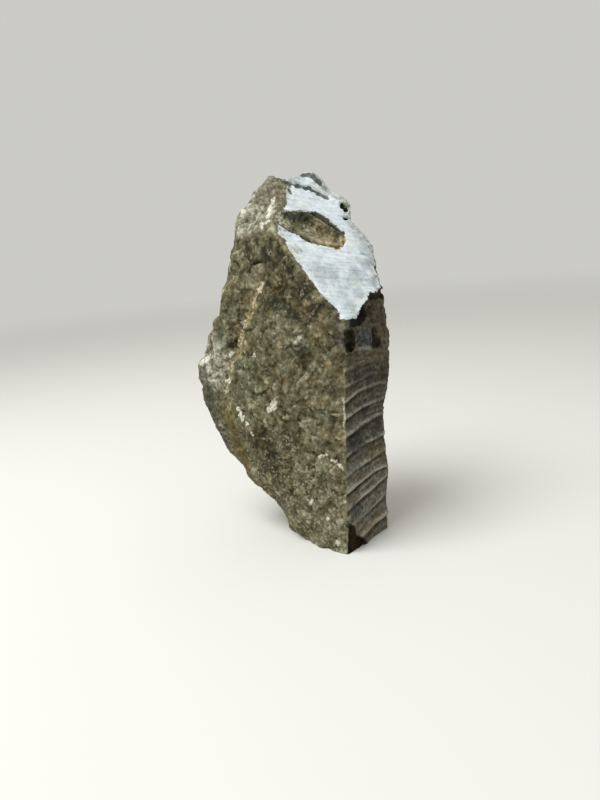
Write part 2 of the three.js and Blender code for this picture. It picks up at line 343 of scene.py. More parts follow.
SAW_TOP, SAW_TOP_BACK, SAW_TOP_FALL = 117.6, 10, 0.18  # the sawn face's top: height, where, fall per mm back
FRONT_POCKET = [(12, 130), (21.5, 128.5), (22.6, 121), (21.4, 112.4), (15, 111), (11.6, 114)]
BACK_POCKET = [(36.4, 124.8), (43.6, 123), (44.2, 115), (37.4, 115.6)]
FOOT_CHIP = [(-3, 21), (2.4, 18.6), (5.5, 13.4), (9, 8.8), (14.5, 3.8), (18, -5), (-3, -5)]
GREY_BLOCK = [(19.5, 127.6), (35, 125.5), (37, 120), (35, 114.3), (22, 115), (19, 120)]
BLOCK_EDGE = [(24.5, 115.9), (29, 115.2), (34, 114.6)]
SIDE_DIM = [
    ((15, 64), 8), ((20, 101), 5), ((31, 99.5), 6), ((42, 98.5), 6), ((12, 24), 5), ((26, 79), 4),
    ((36, 68), 4),
]
SIDE_BROWN = [
    ((33, 53), 8), ((42, 46), 6), ((30, 14), 6), ((18, 112), 4), ((28, 110.5), 4), ((38, 109.5), 4),
    ((47, 140), 9), ((48, 126), 7), ((38, 136), 6),
]

# The lines that the saw left: height at the sawn side's front edge, middle and back edge, and how strong.
SIDE_LENGTH = 50
SAW_LINES = [
    (-6, -4, -2, 0.4), (6, 8.5, 11, 0.8), (16, 20, 24, 0.35), (27, 31, 36, 0.9), (36, 40.6, 39.5, 1.0),
    (46, 50, 51, 0.5), (57, 61, 61, 0.5), (68, 73.5, 74, 0.9), (78, 83, 82, 0.7), (86, 92.7, 91, 0.95),
    (95, 99, 98, 0.5), (104, 108, 107, 0.25), (112, 116, 115, 0.2),
]


# ---- Where the outline stands out or falls back ----

# Middle (x, y, z), reach, and how far to the right and up the surface goes there.
SWELLS_ON_LEFT = [
    ((-39.4, -9, 193), 11, -5.7, 0), ((-37, 2, 206), 7, -1.5, 0), ((-46, -19, 166), 7, 2.5, 0),
    ((-48, -22, 152), 6, -2.8, 0), ((-58, -22, 133), 8, -3.6, 0), ((-71, -25, 115), 5, 2.8, 0),
    ((-68, -26, 67), 9, -2.2, 0), ((-62, -22, 52), 8, -2.8, 0), ((-49, -17, 33), 7, -4.8, 0),
    ((-36, -18, 19), 8, 4.2, 0), ((-22, -13, 2), 6, -2.8, 0),
]
SWELLS_ON_RIGHT = [
    ((25, 24, 22), 11, -1.6, 0), ((24, 27, 99), 12, 2.2, 0), ((24, 27, 86), 7, 1.1, 0),
    ((24, 31, 117), 6, 1.1, 0), ((26, 31.5, 125), 7, -2.8, 0), ((24, 33, 149), 5, -3.8, 0),
    ((20, 37, 147), 4, -1.4, 0), ((24.5, 31, 147.5), 3.5, -3.0, -1.0), ((23, -8.5, 118), 5, 1.5, 0),
    ((23, -8, 124), 5, 1.5, 0),
]
SWELLS_ROUND_FOOT = [
    ((25.5, -19, 4), 9, 1.9, 0), ((25.5, -18.5, 13), 7, 2.0, 0), ((14, -20, 1), 9, 0, -2.2),
    ((25, -18, 19.5), 5, 0.6, 0), ((24, -17, 15.5), 4, 0.7, 0), ((25, -8, 0), 8, 2.6, 0),
]
SWELLS_ROUND_SLOPE = [
    ((25, 30, 141), 5, 0.8, 0), ((26, 3, 137), 5, 1.2, -1.5), ((18, 37, 157.5), 6, -3.0, 0),
    ((-7, 41, 196.5), 6, 3.6, 0), ((0, 40.6, 186), 5, -1.2, 0), ((-16, 42, 206), 5, -2.6, 0),
]
SWELLS_ON_CROWN = [
    ((-23, 31.5, 213), 6.5, 1.3, 2.4), ((-27.5, 21.5, 216), 3.6, 0, -1.5), ((-40, -3, 210), 6, 0.9, -0.4),
    ((-37, 4.5, 212), 2.8, 0, -0.8), ((-32.3, 8.5, 214), 3, 0, 1.4), ((-40.5, 1.5, 207.5), 3.5, -0.9, 0.9),
]
SMALL_SWELLS = [
    ((7.5, 41.8, 175), 5, 1.1, 0), ((-9.7, 44.5, 200), 4, 0.9, 0), ((23, 36, 133.6), 5, -1.0, 0),
    ((-52.8, -17.9, 164), 4.5, 1.6, 0), ((-52, -11.7, 175.5), 4, -1.0, 0), ((-58, -19, 42), 4, -1.1, 0),
    ((-34, -17.3, 21.5), 4, -1.2, 0), ((-28.4, -14.1, 8.7), 4.5, 1.1, 0),
]
SWELLS = SWELLS_ON_LEFT + SWELLS_ON_RIGHT + SWELLS_ROUND_FOOT + SWELLS_ROUND_SLOPE + SWELLS_ON_CROWN
SWELLS += SMALL_SWELLS


# ---- The stone's mesh and its parts ----

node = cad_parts["soapstone_block"]
stone = remeshed(node, "soapstone", VOXEL / MM_PER_METRE)
mesh = stone.data
start = coordinates(mesh)
edges = edges_of(mesh)
facing = normals_of(mesh)

inward, back, up = SAWN_X - start[:, 0], start[:, 1] - FRONT_Y, start[:, 2]
from_slope = start - SLOPE_START
along_slope, up_slope, out_of_slope = (from_slope @ way for way in (SLOPE_ALONG, SLOPE_UP, SLOPE_OUT))
slope = np.stack([along_slope, up_slope], axis=1)
front = np.stack([inward, up], axis=1)
side = np.stack([back, up], axis=1)
above_saw = up - (SAW_TOP - SAW_TOP_FALL * (back - SAW_TOP_BACK))

# How far each point belongs to each part, from 0 to 1.
near_slope = smooth(out_of_slope, -0.9, -0.35)
on_slope = near_slope * smooth(facing @ SLOPE_OUT, 0.8, 0.95)
in_hollow = smooth(inside(slope, HOLLOW_OUTLINE), -1.6, -0.4) * smooth(out_of_slope, -9, -8)
in_hollow = in_hollow * (1 - near_slope)
on_side = smooth(facing[:, 0], 0.3, 0.6) * smooth(inward, 7, 5) * smooth(back, -3, 0) * (1 - near_slope)
on_sawn = smooth(facing[:, 0], 0.5, 0.8) * smooth(inward, 1.9, 1.4) * smooth(above_saw, 1.5, -1.5)
on_foot = smooth(up, 1.0, 0.3)
on_front = smooth(-facing[:, 1], 0.3, 0.6) * (1 - near_slope)
rock = np.clip(1 - on_slope - on_sawn - on_foot, 0, 1)

# The two pockets under the slope, ending before they reach the front.
pocket_depth = np.maximum(inside(side, FRONT_POCKET), inside(side, BACK_POCKET))
pocket_depth = pocket_depth + 0.9 * noise(start, 3.5, seed=63)
off_front = np.maximum(smooth(facing[:, 1], -0.8, -0.5), smooth(back - 0.1 * up, 1.6, 2.8))
in_pocket = smooth(pocket_depth, -2.5, 0) * smooth(inward, 9, 7) * off_front


# ---- Form: the rock's facets softened, then the outline ----

CALM, CALM_ROUNDS = 0.5, 8

calm = CALM * np.maximum(rock, in_pocket) * smooth(up, 0.6, 3)
form = relaxed(start, edges, calm, CALM_ROUNDS)
for middle, reach, sideways, upward in SWELLS:
    share = np.exp(-(((start - np.array(middle)) / reach) ** 2).sum(axis=1))
    form += share[:, None] * (sideways * TO_RIGHT + np.array([0, 0, upward]))
set_coordinates(mesh, form)
facing = normals_of(mesh)


# ---- Relief, as heights along the surface's normals, in millimetres ----

LUMP_SIZE, LUMP_HEIGHT = 9, 0.6
BIG_CHIP_SIZE, BIG_CHIP_HEIGHT, BIG_GAP_DEPTH = 8.5, 1.1, 0.45
SMALL_CHIP_SIZE, SMALL_CHIP_HEIGHT, SMALL_GAP_DEPTH = 3.6, 0.45, 0.25
GRAIN_SIZE, GRAIN_HEIGHT = 2.4, 0.25
ROCK_RELIEF = 0.8  # of all these, on the rock

CREST_HEIGHT, FURROW_SHARE, COMB_HEIGHT, SAWN_GRAIN_HEIGHT = 0.95, 0.8, 0.16, 0.15
CREST_PLACE, FURROW_PLACE, CREST_WIDTH = 0.02, -0.22, 0.12  # shares of the way from line to line
COMB_LINES = 2.9  # between two of the saw's lines
FLAT_BACK_DEPTH = 1.2

SLOPE_WAVES, GROOVE_DEPTH, STREAK_DEPTH, CRACK_DEPTH, PIT_DEPTH = 0.12, 1.4, 1.0, 1.0, 1.8
HOLLOW_DEPTH, HOLLOW_CHIPS = 3.2, 0.5
BESIDE_DEPTH, BESIDE_BIG_CHIPS, BESIDE_SMALL_CHIPS = 0.9, 0.6, 0.4
VEIN_DEPTH, CLEFT_DEPTH, FLECK_HEIGHT, HOLE_DEPTH = 0.7, 1.2, 0.3, 1.3
POCKET_LUMPS, POCKET_DEPTH = 0.9, 0.8


def saw_lines(back, up):
    """Place among the saw lines, whole on a line, and the strength of the lines there."""
    u = np.clip(back / SIDE_LENGTH, 0, 1)
    table = np.array(SAW_LINES)
    heights = table[:, :3] @ np.stack([(1 - u) * (1 - 2 * u), 4 * u * (1 - u), u * (2 * u - 1)])
    place = np.zeros(len(up))
    for low, high in zip(heights[:-1], heights[1:]):
        place += np.clip((up - low) / (high - low), 0, 1)
    return place, np.interp(place, np.arange(len(table)), table[:, 3])


def ridge(x, middle, width):
    """A rounded ridge of height 1."""
    return np.exp(-(((x - middle) / width) ** 2))


# Broken rock: lumps, flat chips at two sizes, and grains.
big_chip, big_gap = chips(form, BIG_CHIP_SIZE, seed=1)
small_chip, small_gap = chips(form, SMALL_CHIP_SIZE, seed=2)
lift = LUMP_HEIGHT * layered(form, LUMP_SIZE, seed=3, layers=2)
lift = lift + BIG_CHIP_HEIGHT * big_chip + SMALL_CHIP_HEIGHT * small_chip
lift = lift - BIG_GAP_DEPTH * big_gap - SMALL_GAP_DEPTH * small_gap
lift += GRAIN_HEIGHT * creased(form, GRAIN_SIZE, seed=4)
lift *= ROCK_RELIEF * rock

# The saw's lines: a crest at each with a furrow below it, and a finer comb between them. They are weaker high
# up at the back and fade out at the back edge, where the side is quite flat.
saw_back = back + 1.5 * noise(form, 9, seed=31)
saw_up = up + 0.9 * noise(form, 12, seed=32)
place, strength = saw_lines(saw_back, saw_up)
from_crest = (place + 0.5) % 1 - 0.5
strength = strength * np.clip(0.85 + 0.6 * noise(form, 11, seed=35), 0.2, 1.4)
strength = strength * (1 - 0.6 * smooth(back, 24, 40) * smooth(up, 60, 72))
crest = ridge(from_crest, CREST_PLACE, CREST_WIDTH)
crest = strength * (crest - FURROW_SHARE * ridge(from_crest, FURROW_PLACE, CREST_WIDTH))
comb = np.sin(2 * np.pi * (COMB_LINES * place + 0.5 * noise(form, 14, seed=33)))
comb = comb * np.clip(0.4 + noise(form, 9, seed=36), 0, 1)
saw_kept = on_sawn * smooth(back, 49, 41)
sawn_grain = on_sawn * SAWN_GRAIN_HEIGHT * noise(form, 2.2, seed=34)
lift += saw_kept * (CREST_HEIGHT * crest + COMB_HEIGHT * comb) + sawn_grain
flat_back = on_sawn * smooth(back, 36, 44) * np.clip(inward - 0.2, 0, FLAT_BACK_DEPTH)

# The slope is nearly flat, with a groove, a streak, cracks and pits broken out of it, and the hollow's rim.
groove = smooth(from_line(slope, GROOVE) + 1.6 * noise(form, 3.2, seed=41), 2.0, 0.8)
streak = smooth(from_line(slope, CROWN_STREAK) + 1.4 * noise(form, 2.6, seed=42), 3.3, 1.6)
crack = np.minimum.reduce([from_line(slope, line) for line in CRACKS])
crack = smooth(crack + 1.3 * noise(form, 2.4, seed=45), 1.7, 0.6)
rim_depth = inside(slope, HOLLOW_RIM) + 0.9 * noise(form, 3, seed=46)
rim = near_slope * smooth(rim_depth, -0.4, 0.6)
beside = inside(slope, BESIDE_HOLLOW) + 1.0 * noise(form, 3, seed=48)
pits = np.maximum(inside(slope, SLOPE_PIT), in_spots(slope, SLOPE_HOLE))
pits = smooth(pits + 0.9 * noise(form, 2, seed=43), -0.5, 0.6)
slope_lift = SLOPE_WAVES * layered(form, 8, seed=44, layers=2) - GROOVE_DEPTH * groove
slope_lift = slope_lift - STREAK_DEPTH * streak - CRACK_DEPTH * crack - PIT_DEPTH * pits
beside_depth = BESIDE_DEPTH - BESIDE_BIG_CHIPS * big_chip - BESIDE_SMALL_CHIPS * small_chip
lift += near_slope * slope_lift
lift -= near_slope * (HOLLOW_DEPTH * smooth(rim_depth, -0.4, 3.4) - HOLLOW_CHIPS * rim * big_chip)
lift -= near_slope * smooth(beside, -0.3, 1.2) * beside_depth

# On the front the vein lies in a shallow crease with two small holes beside it, pale flecks stand out and a
# short cleft runs in from the middle. The pockets are rough inside.
from_vein = np.minimum(from_line(front, VEIN), from_line(front, VEIN_BELOW)) + 1.2 * noise(form, 6, seed=51)
vein_crease = smooth(from_vein, 2.4, 0.4)
cleft = smooth(from_line(front, CLEFT) + 0.8 * noise(form, 3, seed=52), 3.0, 0.6)
pale = in_spots(front, FLECKS)
# The streaks close to the sawn side's edge are a painted highlight there, lifted a little like the flecks.
for line in PALE_STREAKS_AND_EDGE_HIGHLIGHTS:
    pale = np.maximum(pale, STREAK_HALF_WIDTH - from_line(front, line))
front_lift = -VEIN_DEPTH * vein_crease - CLEFT_DEPTH * cleft + FLECK_HEIGHT * smooth(pale, -0.5, 0.5)
lift += on_front * front_lift
lift -= HOLE_DEPTH * on_front * smooth(in_spots(front, HOLES), -0.8, 0.8)
lift += in_pocket * (POCKET_LUMPS * noise(form, 5, seed=61) - POCKET_DEPTH)

points = form + facing * lift[:, None]
points[:, 0] += flat_back
points[:, 2] = np.maximum(points[:, 2], 0)
set_coordinates(mesh, points)
facing = normals_of(mesh)


# ---- What the material is told at each point ----

# How far each point stands out of the surface round it, over a few millimetres and over more.
FINE_ROUNDS, BROAD_ROUNDS = 10, 40
FINE_HEIGHT, BROAD_HEIGHT = 0.22, 0.9  # mm, usual on this stone

half = np.full(len(points), 0.5)
fine_form = relaxed(points, edges, half, FINE_ROUNDS)
broad_form = relaxed(fine_form, edges, half, BROAD_ROUNDS)
stands_out = np.einsum("ij,ij->i", points - fine_form, facing) / FINE_HEIGHT
stands_out += np.einsum("ij,ij->i", fine_form - broad_form, facing) / BROAD_HEIGHT

# The white slope: inside its outline, and over the slope's near tip, but not where it is broken.
NEAR_TIP_REACH, NEAR_TIP_BOTTOM, NEAR_TIP_TOP = 9, 133.9, 138.6
white = np.minimum(inside(slope, SLOPE_OUTLINE), 6 * (near_slope - 0.5))
from_tip = np.linalg.norm(from_slope, axis=1)
tip_depth = out_of_slope + np.minimum(2.9, 0.63 * (NEAR_TIP_TOP - up))
white_tip = np.minimum(np.minimum(up - NEAR_TIP_BOTTOM, tip_depth), NEAR_TIP_REACH - from_tip)
white = np.maximum(white, 2.5 * white_tip)
white = np.minimum.reduce([white, -rim_depth, -beside])
broken_away = np.clip(groove + 0.8 * streak + crack, 0, 1)

# Painted shade under the slope's edge: near black on the edge's own lip, and on the side for a few
# millimetres below it.
below_slope = -inside(slope, SLOPE_OUTLINE)
lip_shade = smooth(out_of_slope, -3, -2) * smooth(up_slope, 6, 5) * smooth(below_slope, -0.5, 0.2)
shade_band_width = 3.3 - 1.5 * smooth(back, 30, 40)
shade_under_edge = on_side * smooth(below_slope + 0.8 * noise(points, 4, seed=62) - shade_band_width, 0.5, -0.5)

# The hollow is shaded under its upper edge and along its lower left edge.
hollow = np.maximum(in_hollow, rim)
top_shade = smooth(from_line(slope, HOLLOW_TOP_SHADE) + noise(points, 4, seed=47), 4.6, 1.8)
low_shade = 0.7 * smooth(from_line(slope, HOLLOW_LOW_SHADE) + noise(points, 4, seed=49), 3.2, 1.2)

# The front: its beige and brown top, its pale left tip and the painted shade along its lower left edge.
faces_left_front = smooth(facing @ TO_LEFT_FRONT, -0.5, -0.1)
near_front = faces_left_front * smooth(back + 7 * noise(points, 9, seed=54), 17, 1)
beige = np.minimum(up - BEIGE_BOTTOM + 0.04 * inward, inward - BEIGE_START)
beige = np.minimum(beige, BEIGE_BACK - back + 0.2 * (up - 180))
brown_top = np.minimum(up - BROWN_TOP_BOTTOM, BROWN_TOP_END - inward)
left_tip = LEFT_TIP_RADIUS - np.hypot(inward - LEFT_TIP[0], LEFT_TIP_SQUEEZE * (up - LEFT_TIP[1]))
# The two holes beside the vein, painted dark as shade.
shaded_holes = smooth(in_spots(front, HOLES) + 0.7 * noise(points, 2, seed=53), -0.6, 0.6)

# The wedge missing from the foot's near corner: brown rock darkened with painted shade, and near black
# painted shade along its border.
from_corner = points @ TO_RIGHT - 0.09 * up
foot_chip = smooth(inside(side, FOOT_CHIP), -1.0, 1.0) * smooth(facing[:, 0], -0.4, -0.1)
foot_chip = foot_chip * (smooth(inward, 6, 4) * smooth(from_corner, 5.3, 6.0))

# The grey block in the side's broken part, between the pockets.
on_block = on_side * smooth(pocket_depth, 0.6, -0.6)

# For each point: how deep it lies inside a part, in millimetres, or a share from 0 to 1. What is raised and
# the saw's crests are heights, as shares of the usual ones.
facts = {
    # painted light and shade: paler where the surface stands out, darker where it sinks
    "relief_shading": held(stands_out, 3),
    "white": held(white),
    "worn": held_on(near_slope, in_spots(slope, WORN_SPOTS)),
    "grey_patch": held(in_spots(slope, GREY_PATCHES)),
    "broken": broken_away * smooth(out_of_slope, -6, -4.5) * smooth(below_slope, 1.5, 0.3),
    # the slope's pits painted near black as shade
    "pit_shade": pits * (1 - 0.85 * smooth(along_slope, 63.2, 64.8)) * smooth(out_of_slope, -9, -7),
    "beside": held_on(near_slope, beside, 3),
    "hollow": hollow,
    "hollow_shade": np.maximum(top_shade, low_shade) * hollow,
    "hollow_spot": held(in_spots(slope, HOLLOW_SPOTS)),
    # painted light and shade: the hollow as lit towards its lower right, as shaded towards its upper left
    "hollow_light": smooth(0.8 * along_slope - 0.6 * up_slope, -18, 10),
    "sawn": on_sawn,
    # the saw's crests as painted highlight, the furrow below each as painted shade
    "crest": np.clip(crest + 0.22 * comb, -1, 1.2) * saw_kept,
    "side_dim": held(in_spots(side, SIDE_DIM)),
    "side_brown": held(in_spots(side, SIDE_BROWN)),
    "under": on_side * smooth(above_saw, -0.5, 1.5),
    # painted shade, near black, under the slope's edge
    "overhang_shade": np.maximum(lip_shade, shade_under_edge) * smooth(back, 14, 17),
    # painted shade in the pockets
    "pocket_shade": in_pocket * smooth(inward, 0.15, 0.9),
    "block": held_on(on_block, inside(side, GREY_BLOCK), 3),
    "block_edge": held(2.0 - from_line(side, BLOCK_EDGE), 3) * on_side,
    "vein": np.clip(6 - from_vein, 0, 6) * on_front,
    "low_vein": smooth(up, 118, 108),
    # painted shade in the holes beside the vein
    "hole_shade": on_front * shaded_holes,
    # painted shade along the front's lower left edge
    "dim": held_on(near_front, 6.5 - from_line(front, SHADED_LEFT_EDGE)),
    "brown": held_on(on_front, 6 - from_line(front, BROWN_BAND)),
    "beige": held(beige, 12),
    "brown_top": held(brown_top),
    "tip": held_on(faces_left_front, left_tip, 12),
    "dark": held_on(on_front, in_spots(front, DARK_PATCHES)),
    "green": held_on(on_front, in_spots(front, GREEN_PATCHES)),
    # pale flecks and streaks, those along the sawn side's edge a painted highlight
    "fleck_and_edge_highlight": held_on(on_front, pale, 4),
    # the foot's chip: brown rock darkened with painted shade
    "chip_brown_and_shade": foot_chip,
    # near black painted shade along the chip's border
    "chip_border_shade": smooth(from_corner, 8.6, 7.2),
}
for name, values in facts.items():
    attribute(mesh, name, values)
for face in mesh.polygons:
    face.use_smooth = True

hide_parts("soapstone_block")
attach(stone, "root")


# ---- Shader nodes ----


def tone(colour):
    """A colour from its screen values of 0 to 255."""
    screen = [value / 255 for value in colour]
    return tuple(c / 12.92 if c <= 0.04045 else ((c + 0.055) / 1.055) ** 2.4 for c in screen) + (1.0,)


class Nodes:
    """Adds nodes to a tree, each linked to what it is given: a socket, a number or a colour."""

    def __init__(self, tree):
        self.tree = tree

    def put(self, kind, inputs=(), **settings):
        """A new node, with its inputs by name or number."""
        made = self.tree.nodes.new(kind)
        for key, value in settings.items():
            setattr(made, key, value)
        for key, value in dict(inputs).items():
            if isinstance(value, bpy.types.NodeSocket):
                self.tree.links.new(value, made.inputs[key])
            else:
                made.inputs[key].default_value = value
        return made

    def place(self):
        """Object coordinates in millimetres."""
        where = self.put("ShaderNodeTexCoord").outputs["Object"]
        inputs = {0: where, "Scale": float(MM_PER_METRE)}
        return self.put("ShaderNodeVectorMath", inputs, operation="SCALE").outputs[0]

    def height_up(self, where):
        return self.put("ShaderNodeSeparateXYZ", {0: where}).outputs["Z"]

    def along(self, where, way):
        """How far a place is along a direction."""
        inputs = {0: where, 1: tuple(way)}
        return self.put("ShaderNodeVectorMath", inputs, operation="DOT_PRODUCT").outputs["Value"]

    def noise(self, where, size, detail=2.0, rough=0.5, twist=0.0):
        inputs = {"Vector": where, "Scale": 1 / size, "Detail": detail, "Roughness": rough}
        inputs["Distortion"] = twist
        return self.put("ShaderNodeTexNoise", inputs).outputs["Fac"]

    def jostled(self, where, size, amount):
        """Places moved about by noise, so that grains are not round."""
        wander = self.put("ShaderNodeTexNoise", {"Vector": where, "Scale": 1 / size, "Detail": 2.0})
        inputs = {0: wander.outputs["Color"], 1: (0.5, 0.5, 0.5)}
        centred = self.put("ShaderNodeVectorMath", inputs, operation="SUBTRACT").outputs[0]
        inputs = {0: centred, 1: (amount, amount, amount), 2: where}
        return self.put("ShaderNodeVectorMath", inputs, operation="MULTIPLY_ADD").outputs[0]

    def grains(self, where, size):
        """Distance from a grain's middle, and the grain's own number."""
        made = self.put("ShaderNodeTexVoronoi", {"Vector": where, "Scale": 1 / size})
        number = self.put("ShaderNodeSeparateColor", {"Color": made.outputs["Color"]}).outputs[0]
        return made.outputs["Distance"], number

    def maths(self, kind, a, b):
        return self.put("ShaderNodeMath", {0: a, 1: b}, operation=kind).outputs[0]

    def times(self, a, b):
        return self.maths("MULTIPLY", a, b)

    def sum(self, *parts):
        total = parts[0]
        for part in parts[1:]:
            total = self.maths("ADD", total, part)
        return total

    def step(self, value, low, high, start=0.0, end=1.0):
        """A smooth change from start to end, between two of the value's levels."""
        inputs = {"Value": value, "From Min": low, "From Max": high, "To Min": start, "To Max": end}
        return self.put("ShaderNodeMapRange", inputs, interpolation_type="SMOOTHSTEP").outputs["Result"]

    def mix(self, share, a, b, kind="MIX"):
        made = self.put("ShaderNodeMix", {0: share, 6: a, 7: b}, data_type="RGBA", blend_type=kind)
        return made.outputs[2]

    def tinted(self, colour, tint):
        """A colour darkened as by a glaze of the tint."""
        return self.mix(1.0, colour, tone(tint), "MULTIPLY")

    def ramp(self, value, tones):
        """A colour for each value, from a list of (value, screen colour)."""
        made = self.put("ShaderNodeValToRGB", {"Fac": value})
        stops = made.color_ramp.elements
        while len(stops) < len(tones):
            stops.new(0.5)
        for stop, (position, colour) in zip(stops, tones):
            stop.position = position
            stop.color = tone(colour)
        return made.outputs["Color"]

    def fact(self, name):
        """What the mesh says at each point, under that name."""
        return self.put("ShaderNodeAttribute", attribute_name=name).outputs["Fac"]

    def grouped(self, tree, **given):
        """A group's colour and height."""
        made = self.put("ShaderNodeGroup", node_tree=tree)
        for label, socket in given.items():
            self.tree.links.new(socket, made.inputs[label])
        return made.outputs["Colour"], made.outputs["Height"]


def new_group(name, *labels):
    """An empty group for a colour and a height: its tree, its maker of nodes, what it gets and gives."""
    tree = bpy.data.node_groups.new(name, "ShaderNodeTree")
    for label in labels:
        tree.interface.new_socket(label, in_out="INPUT", socket_type="NodeSocketFloat")
    tree.interface.new_socket("Colour", in_out="OUTPUT", socket_type="NodeSocketColor")
    tree.interface.new_socket("Height", in_out="OUTPUT", socket_type="NodeSocketFloat")
    n = Nodes(tree)
    return tree, n, n.put("NodeGroupInput").outputs, n.put("NodeGroupOutput").inputs


# ---- Broken rock: a mixture of dark, olive and pale grains, with grey-green and rusty areas ----

ROCK_TONES = [
    (0.12, (44, 41, 26)), (0.34, (77, 72, 50)), (0.5, (98, 93, 70)), (0.68, (124, 118, 92)),
    (0.92, (174, 169, 146)),
]
GREEN_TONES = [(0.2, (52, 54, 38)), (0.5, (94, 97, 75)), (0.9, (164, 168, 148))]
RUST_TONES = [(0.2, (58, 44, 20)), (0.5, (112, 94, 58)), (0.9, (176, 158, 120))]
PALE_GRAIN = (178, 173, 150)
ROCK_SHIFT = -0.52  # along the colours, over the whole of the rock


def broken_rock():
    tree, n, given, out = new_group("broken rock", "Flecks", "Light", "Green")
    where = n.place()
    mottle = n.noise(where, 5.5, detail=6, rough=0.68, twist=0.2)
    gap, number = n.grains(n.jostled(where, 2.0, 1.2), 1.9)
    _, small_number = n.grains(n.jostled(where, 1.3, 0.8), 1.2)
    fine = n.noise(where, 0.8, detail=3, rough=0.7)
    grain = [n.times(mottle, 1.65), n.times(number, 0.16), n.times(small_number, 0.06), n.times(fine, 0.05)]
    value = n.sum(*grain, ROCK_SHIFT, given["Light"])
    colour = n.ramp(value, ROCK_TONES)
    green = n.step(n.noise(where, 15, detail=3, rough=0.6), 0.5, 0.66, 0, 0.5)
    colour = n.mix(n.sum(green, given["Green"]), colour, n.ramp(value, GREEN_TONES))
    rust = n.step(n.noise(where, 11, detail=4, rough=0.65, twist=1.0), 0.53, 0.68, 0, 0.55)
    colour = n.mix(rust, colour, n.ramp(value, RUST_TONES))
    chance = n.sum(n.noise(where, 6, detail=3, rough=0.6), n.times(given["Flecks"], 0.14))
    flecks = n.times(n.step(small_number, 0.72, 0.86), n.step(chance, 0.5, 0.62))
    colour = n.mix(n.times(flecks, 0.38), colour, tone(PALE_GRAIN))
    tree.links.new(colour, out["Colour"])
    tree.links.new(n.sum(n.times(n.sum(mottle, fine), 0.4), n.times(gap, -0.3)), out["Height"])
    return tree


# ---- Rasped slope: pale, with fine slanting scratches, grey patches and dull spots ----

SLOPE_TONES = [
    (0.36, (150, 158, 160)), (0.46, (188, 197, 202)), (0.56, (209, 218, 224)), (0.68, (228, 235, 241)),
]
GREY_TONES = [(0.35, (122, 134, 136)), (0.6, (182, 192, 196))]
DULL_TONES = [(0.35, (126, 126, 108)), (0.6, (186, 186, 172))]
WARM_TINT = (255, 252, 240)
SCRATCH_WAY = 0.84 * SLOPE_ALONG - 0.54 * SLOPE_UP
ACROSS_WAY = 0.54 * SLOPE_ALONG + 0.84 * SLOPE_UP
SCRATCH_WIDTH, SCRATCH_STRETCH = 1.9, 0.09


def rasped_slope():
    tree, n, given, out = new_group("rasped slope", "Grey")
    where = n.place()
    stretched = n.times(n.along(where, SCRATCH_WAY), SCRATCH_STRETCH)
    combed = n.put("ShaderNodeCombineXYZ", {"X": stretched, "Y": n.along(where, ACROSS_WAY)}).outputs[0]
    scratches = n.noise(combed, SCRATCH_WIDTH, detail=4, rough=0.75)
    mottle = n.noise(where, 3.4, detail=4, rough=0.7, twist=0.4)
    value = n.sum(n.times(scratches, 0.65), n.times(mottle, 0.5))
    colour = n.ramp(value, SLOPE_TONES)
    wander = n.times(n.sum(n.noise(where, 5, detail=4, rough=0.7, twist=0.5), -0.5), 20)
    greyness = n.step(n.sum(given["Grey"], wander), -3, 3.5, 0, 0.85)
    colour = n.mix(greyness, colour, n.ramp(value, GREY_TONES))
    dull = n.step(n.noise(where, 4, detail=5, rough=0.72, twist=0.8), 0.59, 0.68, 0, 0.6)
    colour = n.mix(dull, colour, n.ramp(value, DULL_TONES))
    warm = n.step(n.noise(where, 9, detail=3, rough=0.6), 0.48, 0.62, 0, 0.6)
    colour = n.mix(warm, colour, n.tinted(colour, WARM_TINT))
    tree.links.new(colour, out["Colour"])
    tree.links.new(n.times(value, 0.7), out["Height"])
    return tree


# ---- Sawn side: dark grey-brown, paler low down; saw's crests painted as highlight, furrows as shade ----

SAWN_TONES = [
    (0.2, (38, 35, 26)), (0.36, (60, 56, 46)), (0.5, (80, 77, 67)), (0.68, (112, 109, 98)),
    (0.9, (156, 154, 142)),
]
BROWN_SAWN_TONES = [(0.3, (52, 44, 32)), (0.55, (100, 89, 70)), (0.9, (146, 134, 112))]
SAWN_SHIFT = -0.01


def sawn_side():
    tree, n, given, out = new_group("sawn side", "Crest")
    where = n.place()
    _, number = n.grains(n.jostled(where, 1.6, 1.2), 1.5)
    grain = n.sum(n.times(n.noise(where, 2.6, detail=4, rough=0.72), 0.8), n.times(number, 0.14))
    low_down = n.step(n.height_up(where), 66, 40, 0.02, 0.12)
    # The saw's crests painted paler as highlight, the furrows below them darker as shade.
    value = n.sum(n.times(given["Crest"], 0.5), n.times(grain, 1.05), low_down, SAWN_SHIFT)
    colour = n.ramp(value, SAWN_TONES)
    brown = n.step(n.noise(where, 16, detail=2, rough=0.5), 0.48, 0.62, 0, 0.5)
    colour = n.mix(brown, colour, n.ramp(value, BROWN_SAWN_TONES))
    tree.links.new(colour, out["Colour"])
    tree.links.new(n.times(grain, 0.5), out["Height"])
    return tree


# ---- The stone's own material ----

